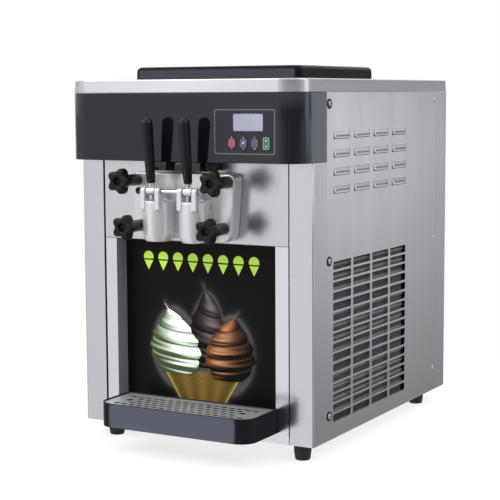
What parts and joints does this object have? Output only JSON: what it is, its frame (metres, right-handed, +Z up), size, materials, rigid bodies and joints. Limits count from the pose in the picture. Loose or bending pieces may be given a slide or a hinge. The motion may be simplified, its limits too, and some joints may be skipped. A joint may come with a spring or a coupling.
{
  "type": "soft serve ice cream maker",
  "caption": "Countertop soft-serve ice cream maker: lidded mix hoppers and freezing cylinders feed a dispensing head with pull levers above a removable drip tray.",
  "frame": {"origin": "middle of the object's box, on the surface that it stands on", "axes": "+Z up, -Y towards the user, +X to the right of someone facing the machine"},
  "size_m": [0.528, 0.7854, 0.7455],
  "materials": {
    "brushed_stainless": "brushed",
    "grey_sheet": "satin grey",
    "black_gloss_plastic": "gloss black",
    "black_plastic": "satin black",
    "polished_head": "polished",
    "black_rubber": "matt",
    "silicone_seal": "matt",
    "poster_sheet": "printed, satin",
    "display_lens": "clear gloss over a grey display",
    "circuit_board": "green laminate",
    "key_red": "gloss",
    "key_blue_grey": "gloss",
    "key_green": "gloss",
    "white_plastic": "natural food-grade plastic",
    "insulation_foam": "foamed",
    "black_paint": "satin black",
    "motor_grey": "grey enamel",
    "aluminium": "cast and machined"
  },
  "bodies": {
    "housing": {"air_tube_left": "white_plastic", "air_tube_right": "white_plastic", "back_cover": "brushed_stainless", "barrel_seal": "silicone_seal", "base_pan": "brushed_stainless", "bearing_carrier": "aluminium", "beater_motor": "motor_grey", "cable_gland": "black_plastic", "compressor": "black_paint", "condenser": "aluminium", "control_board": "circuit_board", "control_panel": "black_gloss_plastic", "cylinder_insulation": "insulation_foam", "dispensing_head": "polished_head", "display_lens": "display_lens", "drive_belt": "black_rubber", "fan_motor": "motor_grey", "flange_plate": "brushed_stainless", "foot_front_left": "black_rubber", "foot_front_right": "black_rubber", "foot_rear_left": "black_rubber", "foot_rear_right": "black_rubber", "freezing_cylinder_left": "brushed_stainless", "freezing_cylinder_right": "brushed_stainless", "front_column_left": "brushed_stainless", "front_column_right": "brushed_stainless", "front_plate_lower": "brushed_stainless", "front_plate_upper": "brushed_stainless", "lever_pivot_pin": "brushed_stainless", "lever_switch_cover": "black_gloss_plastic", "mix_hopper_left": "brushed_stainless", "mix_hopper_right": "brushed_stainless", "poster_panel": "poster_sheet", "side_cover_left": "brushed_stainless", "side_cover_right": "brushed_stainless", "splash_recess": "grey_sheet", "top_cover": "brushed_stainless"},
    "lever_left": {"lever_left": "brushed_stainless", "lever_grip_left": "black_plastic"},
    "piston_left": {"valve_piston_left": "white_plastic"},
    "beater_left": {"beater_left": "white_plastic", "beater_pulley_left": "aluminium"},
    "lever_right": {"lever_right": "brushed_stainless", "lever_grip_right": "black_plastic"},
    "piston_right": {"valve_piston_right": "white_plastic"},
    "beater_right": {"beater_right": "white_plastic", "beater_pulley_right": "aluminium"},
    "motor_pulley": {"motor_pulley": "aluminium"},
    "fan": {"fan_blade": "black_plastic"},
    "lid": {"hopper_lid": "black_plastic"},
    "tray": {"drip_tray": "black_gloss_plastic"},
    "grate": {"drip_grate": "brushed_stainless"},
    "knob_upper_left": {"star_knob_upper_left": "black_plastic"},
    "knob_upper_right": {"star_knob_upper_right": "black_plastic"},
    "knob_lower_left": {"star_knob_lower_left": "black_plastic"},
    "knob_lower_right": {"star_knob_lower_right": "black_plastic"},
    "key_stop": {"button_stop": "key_red"},
    "key_mode": {"button_mode": "key_blue_grey"},
    "key_adjust": {"button_adjust": "key_blue_grey"},
    "key_auto": {"button_auto": "key_green"}
  },
  "joints": [
    {"name": "lever_left_pull", "type": "hinge", "parent": "housing", "child": "lever_left", "pos_m": [-0.045, -0.35625, 0.509], "axis": [1, 0, 0], "range_deg": [0, 60]},
    {"name": "piston_left_lift", "type": "slide", "parent": "housing", "child": "piston_left", "axis": [0, 0, 1], "range_m": [0, 0.0211]},
    {"name": "lever_right_pull", "type": "hinge", "parent": "housing", "child": "lever_right", "pos_m": [0.037, -0.35625, 0.509], "axis": [1, 0, 0], "range_deg": [0, 60]},
    {"name": "piston_right_lift", "type": "slide", "parent": "housing", "child": "piston_right", "axis": [0, 0, 1], "range_m": [0, 0.0211]},
    {"name": "lid_lift", "type": "slide", "parent": "housing", "child": "lid", "axis": [0, 0, 1], "range_m": [0, 0.12]},
    {"name": "tray_pull", "type": "slide", "parent": "housing", "child": "tray", "axis": [0, -1, 0], "range_m": [0, 0.15]},
    {"name": "grate_lift", "type": "slide", "parent": "tray", "child": "grate", "axis": [0, 0, 1], "range_m": [0, 0.08]},
    {"name": "knob_upper_left_turn", "type": "hinge", "parent": "housing", "child": "knob_upper_left", "pos_m": [-0.106, -0.38425, 0.527], "axis": [0, 1, 0], "continuous": true},
    {"name": "knob_upper_right_turn", "type": "hinge", "parent": "housing", "child": "knob_upper_right", "pos_m": [0.098, -0.38425, 0.527], "axis": [0, 1, 0], "continuous": true},
    {"name": "knob_lower_left_turn", "type": "hinge", "parent": "housing", "child": "knob_lower_left", "pos_m": [-0.0965, -0.38425, 0.439], "axis": [0, 1, 0], "continuous": true},
    {"name": "knob_lower_right_turn", "type": "hinge", "parent": "housing", "child": "knob_lower_right", "pos_m": [0.0885, -0.38425, 0.439], "axis": [0, 1, 0], "continuous": true},
    {"name": "key_stop_press", "type": "slide", "parent": "housing", "child": "key_stop", "axis": [0, 1, 0], "range_m": [0, 0.0012], "stiffness_N_per_m": 400},
    {"name": "key_mode_press", "type": "slide", "parent": "housing", "child": "key_mode", "axis": [0, 1, 0], "range_m": [0, 0.0012], "stiffness_N_per_m": 400},
    {"name": "key_adjust_press", "type": "slide", "parent": "housing", "child": "key_adjust", "axis": [0, 1, 0], "range_m": [0, 0.0012], "stiffness_N_per_m": 400},
    {"name": "key_auto_press", "type": "slide", "parent": "housing", "child": "key_auto", "axis": [0, 1, 0], "range_m": [0, 0.0012], "stiffness_N_per_m": 400},
    {"name": "beater_left_spin", "type": "hinge", "parent": "housing", "child": "beater_left", "pos_m": [-0.046, -0.27125, 0.482], "axis": [0, 1, 0], "continuous": true},
    {"name": "beater_right_spin", "type": "hinge", "parent": "housing", "child": "beater_right", "pos_m": [0.046, -0.27125, 0.482], "axis": [0, 1, 0], "continuous": true},
    {"name": "motor_spin", "type": "hinge", "parent": "housing", "child": "motor_pulley", "pos_m": [0, 0.08275, 0.3], "axis": [0, 1, 0], "continuous": true},
    {"name": "fan_spin", "type": "hinge", "parent": "housing", "child": "fan", "pos_m": [0.179, -0.07125, 0.215], "axis": [1, 0, 0], "continuous": true}
  ],
  "couplings": [
    {"joint": "piston_left_lift", "follows": "lever_left_pull", "m_per_rad": 0.02005},
    {"joint": "piston_right_lift", "follows": "lever_right_pull", "m_per_rad": 0.02005},
    {"joint": "beater_right_spin", "follows": "beater_left_spin", "ratio": 1},
    {"joint": "motor_spin", "follows": "beater_left_spin", "ratio": 1.6}
  ]
}
